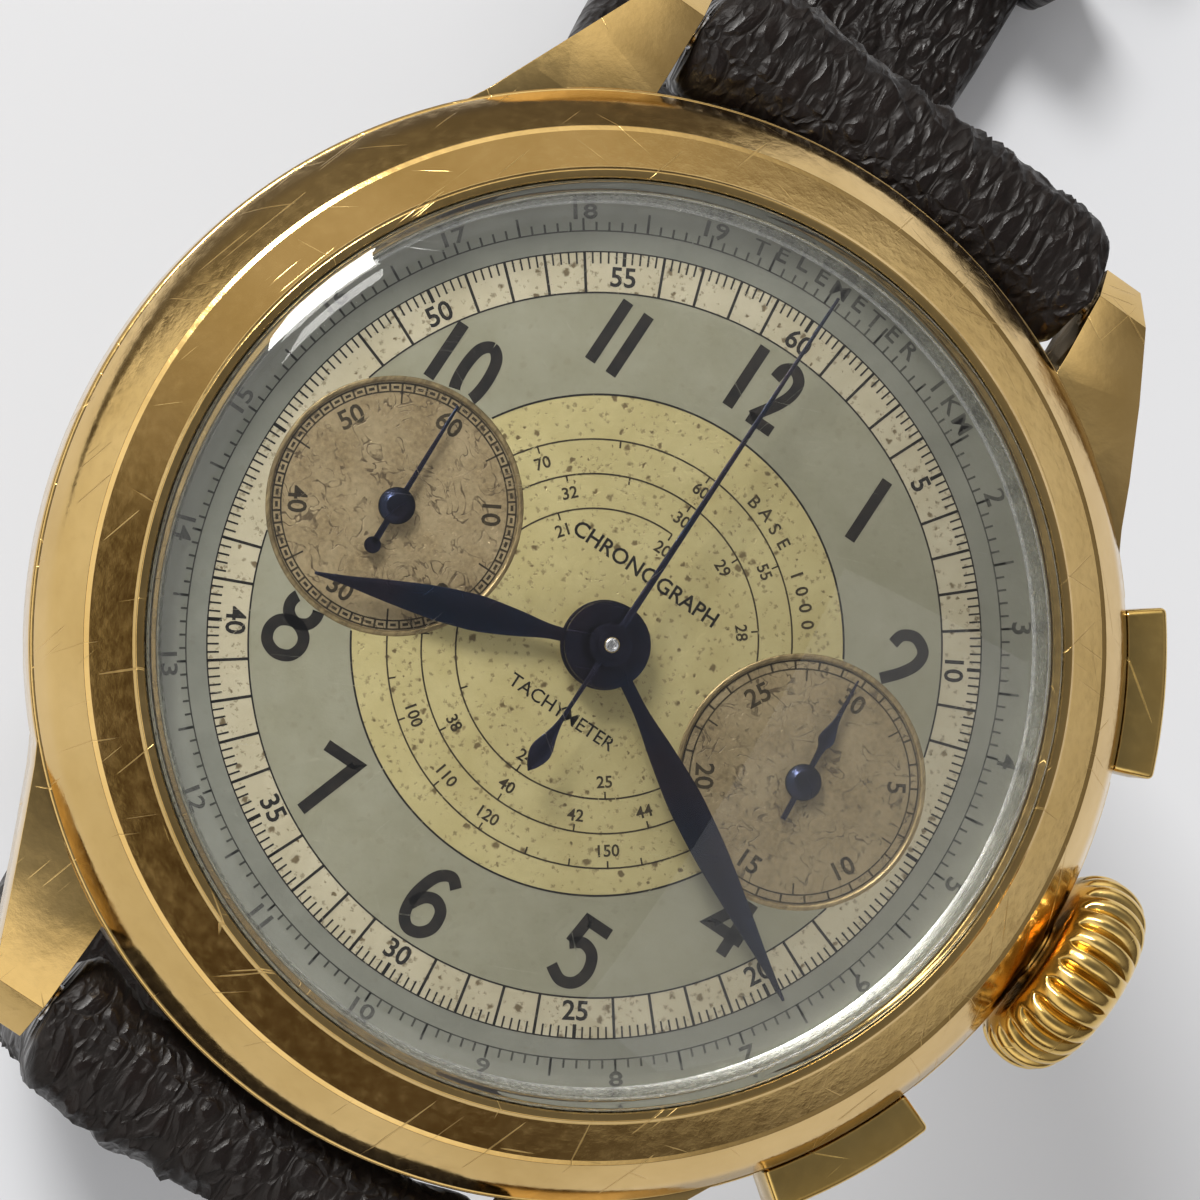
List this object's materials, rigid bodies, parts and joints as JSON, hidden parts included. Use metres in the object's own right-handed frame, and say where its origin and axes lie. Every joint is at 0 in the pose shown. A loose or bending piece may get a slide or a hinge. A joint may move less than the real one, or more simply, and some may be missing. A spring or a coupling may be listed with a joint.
{
  "type": "chronograph wristwatch",
  "caption": "Round gold-cased wristwatch with stopwatch registers, a crown and rectangular pushers, on an open padded leather strap with a pin buckle.",
  "frame": {"origin": "centre of the case back's flat outer face", "axes": "+Z out of the dial towards the wearer's eye, +X towards 3 o'clock and the crown, +Y towards 12 o'clock"},
  "size_m": [0.0437, 0.0926, 0.0648],
  "materials": {
    "case_gold": "polished yellow gold with fine wear",
    "buckle_gold": "polished gold plate",
    "crystal": "clear domed acrylic",
    "dial_silver": "aged silvered satin with printed scales",
    "blued_steel": "fire-blued steel",
    "strap_leather": "very dark brown shrunken grain, satin",
    "steel": "polished steel",
    "brass": "gilt brass",
    "plate": "rhodium-toned grained plate"
  },
  "bodies": {
    "case": {"mid_case": "case_gold", "bezel": "case_gold", "crystal": "crystal", "case_back": "case_gold", "movement_ring": "brass", "crown_tube": "case_gold", "pusher_tubes": "case_gold", "dial": "dial_silver", "main_plate": "plate", "barrel_bridge": "plate", "train_bridge": "plate", "balance_cock": "plate", "chronograph_bridge": "plate", "bridge_screws": "steel", "case_screws": "steel", "spring_bars": "steel", "mainspring": "steel", "hairspring": "steel", "upper_pusher_spring": "steel", "lower_pusher_spring": "steel"},
    "small_seconds": {"fourth_wheel": "brass", "small_seconds_hand": "blued_steel"},
    "third_wheel": {"third_wheel": "brass"},
    "minutes": {"centre_wheel": "brass", "cannon_pinion": "steel", "minute_hand": "blued_steel"},
    "minute_wheel": {"minute_wheel": "brass"},
    "hours": {"hour_wheel": "brass", "hour_hand": "blued_steel"},
    "escape_wheel": {"escape_wheel": "steel"},
    "barrel": {"mainspring_barrel": "brass"},
    "pallet_fork": {"pallet_fork": "steel"},
    "balance": {"balance_wheel": "brass"},
    "chrono_seconds": {"chronograph_runner": "brass", "chrono_seconds_hand": "blued_steel"},
    "minute_counter": {"minute_recorder_wheel": "brass", "minute_counter_hand": "blued_steel"},
    "coupling_wheel": {"coupling_wheel": "brass"},
    "clutch_lever": {"clutch_lever": "steel"},
    "column_wheel": {"column_wheel": "steel"},
    "upper_pusher": {"upper_pusher": "case_gold"},
    "lower_pusher": {"lower_pusher": "case_gold"},
    "operating_lever": {"operating_lever": "steel"},
    "reset_hammer": {"reset_hammer": "steel"},
    "winding_pinions": {"winding_pinion": "steel", "sliding_pinion": "steel"},
    "crown_and_stem": {"crown": "case_gold", "winding_stem": "steel"},
    "crown_wheel": {"crown_wheel": "steel"},
    "ratchet": {"ratchet_wheel": "steel", "barrel_arbor": "steel"},
    "click": {"click": "steel"},
    "strap_buckle_half": {"strap_buckle_half": "strap_leather", "fixed_keeper": "strap_leather"},
    "strap_hole_half": {"strap_hole_half": "strap_leather"},
    "buckle": {"buckle_frame": "buckle_gold", "buckle_pin": "steel"},
    "tongue": {"buckle_tongue": "buckle_gold"},
    "sliding_keeper": {"sliding_keeper": "strap_leather"}
  },
  "joints": [
    {"name": "small_seconds_turn", "type": "hinge", "parent": "case", "child": "small_seconds", "pos_m": [-0.0088, 0, 0.005], "axis": [0, 0, -1], "continuous": true},
    {"name": "third_wheel_turn", "type": "hinge", "parent": "case", "child": "third_wheel", "pos_m": [-0.0052, -0.0036, 0.0042], "axis": [0, 0, -1], "continuous": true},
    {"name": "minute_hand_turn", "type": "hinge", "parent": "case", "child": "minutes", "pos_m": [0, 0, 0.007], "axis": [0, 0, -1], "continuous": true},
    {"name": "minute_wheel_turn", "type": "hinge", "parent": "case", "child": "minute_wheel", "pos_m": [0, -0.0028, 0.0061], "axis": [0, 0, -1], "continuous": true},
    {"name": "hour_hand_turn", "type": "hinge", "parent": "case", "child": "hours", "pos_m": [0, 0, 0.007], "axis": [0, 0, -1], "continuous": true},
    {"name": "escape_wheel_turn", "type": "hinge", "parent": "case", "child": "escape_wheel", "pos_m": [-0.00985, 0.00344, 0.004], "axis": [0, 0, -1], "continuous": true},
    {"name": "barrel_turn", "type": "hinge", "parent": "case", "child": "barrel", "pos_m": [0.004, 0.00447, 0.0039], "axis": [0, 0, -1], "continuous": true},
    {"name": "pallet_rock", "type": "hinge", "parent": "case", "child": "pallet_fork", "pos_m": [-0.00808, 0.0049, 0.004], "axis": [0, 0, 1], "range_deg": [-7, 7]},
    {"name": "balance_swing", "type": "hinge", "parent": "case", "child": "balance", "pos_m": [-0.0046, 0.0076, 0.0036], "axis": [0, 0, 1], "range_deg": [-270, 270], "deforming": ["hairspring"]},
    {"name": "chrono_seconds_turn", "type": "hinge", "parent": "case", "child": "chrono_seconds", "pos_m": [0, 0, 0.009], "axis": [0, 0, -1], "continuous": true},
    {"name": "minute_counter_turn", "type": "hinge", "parent": "case", "child": "minute_counter", "pos_m": [0.0088, 0, 0.005], "axis": [0, 0, -1], "continuous": true},
    {"name": "coupling_wheel_turn", "type": "hinge", "parent": "clutch_lever", "child": "coupling_wheel", "pos_m": [-0.00572, 0.00055, 0.002], "axis": [0, 0, -1], "continuous": true},
    {"name": "clutch_lever_swing", "type": "hinge", "parent": "case", "child": "clutch_lever", "pos_m": [-0.0032, -0.0076, 0.0015], "axis": [0, 0, 1], "range_deg": [-1.5, 0]},
    {"name": "column_wheel_turn", "type": "hinge", "parent": "case", "child": "column_wheel", "pos_m": [0.0064, -0.0082, 0.0016], "axis": [0, 0, -1], "continuous": true},
    {"name": "upper_pusher_press", "type": "slide", "parent": "case", "child": "upper_pusher", "axis": [-0.8746, -0.4848, 0], "range_m": [0, 0.0005], "stiffness_N_per_m": 1500, "deforming": ["upper_pusher_spring"]},
    {"name": "lower_pusher_press", "type": "slide", "parent": "case", "child": "lower_pusher", "axis": [-0.8746, 0.4848, 0], "range_m": [0, 0.0005], "stiffness_N_per_m": 1500, "deforming": ["lower_pusher_spring"]},
    {"name": "operating_lever_swing", "type": "hinge", "parent": "case", "child": "operating_lever", "pos_m": [0.011, -0.0064, 0.002], "axis": [0, 0, 1], "range_deg": [0, 2.3]},
    {"name": "reset_hammer_swing", "type": "hinge", "parent": "case", "child": "reset_hammer", "pos_m": [0.0012, -0.0096, 0.0023], "axis": [0, 0, 1], "range_deg": [0, 3.2]},
    {"name": "crown_turn", "type": "hinge", "parent": "case", "child": "winding_pinions", "pos_m": [0.0111, 0, 0.0039], "axis": [1, 0, 0], "continuous": true},
    {"name": "crown_pull", "type": "slide", "parent": "winding_pinions", "child": "crown_and_stem", "axis": [1, 0, 0], "range_m": [0, 0.0009]},
    {"name": "crown_wheel_turn", "type": "hinge", "parent": "case", "child": "crown_wheel", "pos_m": [0.0109, 0.0023, 0.0025], "axis": [0, 0, 1], "continuous": true},
    {"name": "ratchet_wheel_turn", "type": "hinge", "parent": "case", "child": "ratchet", "pos_m": [0.004, 0.00447, 0.0025], "axis": [0, 0, 1], "continuous": true},
    {"name": "click_swing", "type": "hinge", "parent": "case", "child": "click", "pos_m": [0.0049, 0.0113, 0.0025], "axis": [0, 0, 1], "range_deg": [0, 6]},
    {"name": "strap_buckle_half_swing", "type": "hinge", "parent": "case", "child": "strap_buckle_half", "pos_m": [0, 0.0213, 0.0024], "axis": [1, 0, 0], "range_deg": [-1, 80]},
    {"name": "strap_hole_half_swing", "type": "hinge", "parent": "case", "child": "strap_hole_half", "pos_m": [0, -0.0213, 0.0024], "axis": [-1, 0, 0], "range_deg": [-0.5, 80]},
    {"name": "buckle_swing", "type": "hinge", "parent": "strap_buckle_half", "child": "buckle", "pos_m": [0, 0.058, -0.05], "axis": [1, 0, 0], "range_deg": [0, 70]},
    {"name": "tongue_swing", "type": "hinge", "parent": "buckle", "child": "tongue", "pos_m": [0, 0.058, -0.05], "axis": [1, 0, 0], "range_deg": [0, 40]},
    {"name": "keeper_slide", "type": "slide", "parent": "strap_buckle_half", "child": "sliding_keeper", "axis": [0, 1, 0], "range_m": [-0.003, 0.0035]}
  ],
  "couplings": [
    {"joint": "third_wheel_turn", "follows": "small_seconds_turn", "ratio": -0.13333},
    {"joint": "minute_hand_turn", "follows": "small_seconds_turn", "ratio": 0.016667},
    {"joint": "minute_wheel_turn", "follows": "small_seconds_turn", "ratio": -0.0055556},
    {"joint": "hour_hand_turn", "follows": "small_seconds_turn", "ratio": 0.0013889},
    {"joint": "escape_wheel_turn", "follows": "small_seconds_turn", "ratio": -10},
    {"joint": "barrel_turn", "follows": "small_seconds_turn", "ratio": -0.0020833},
    {"joint": "coupling_wheel_turn", "follows": "small_seconds_turn", "ratio": -1.6667},
    {"joint": "minute_counter_turn", "follows": "chrono_seconds_turn", "ratio": 0.033333},
    {"joint": "operating_lever_swing", "follows": "upper_pusher_press", "rad_per_m": 76.794},
    {"joint": "reset_hammer_swing", "follows": "lower_pusher_press", "rad_per_m": 108.21},
    {"joint": "crown_wheel_turn", "follows": "crown_turn", "ratio": -0.625},
    {"joint": "ratchet_wheel_turn", "follows": "crown_turn", "ratio": 0.25862}
  ]
}
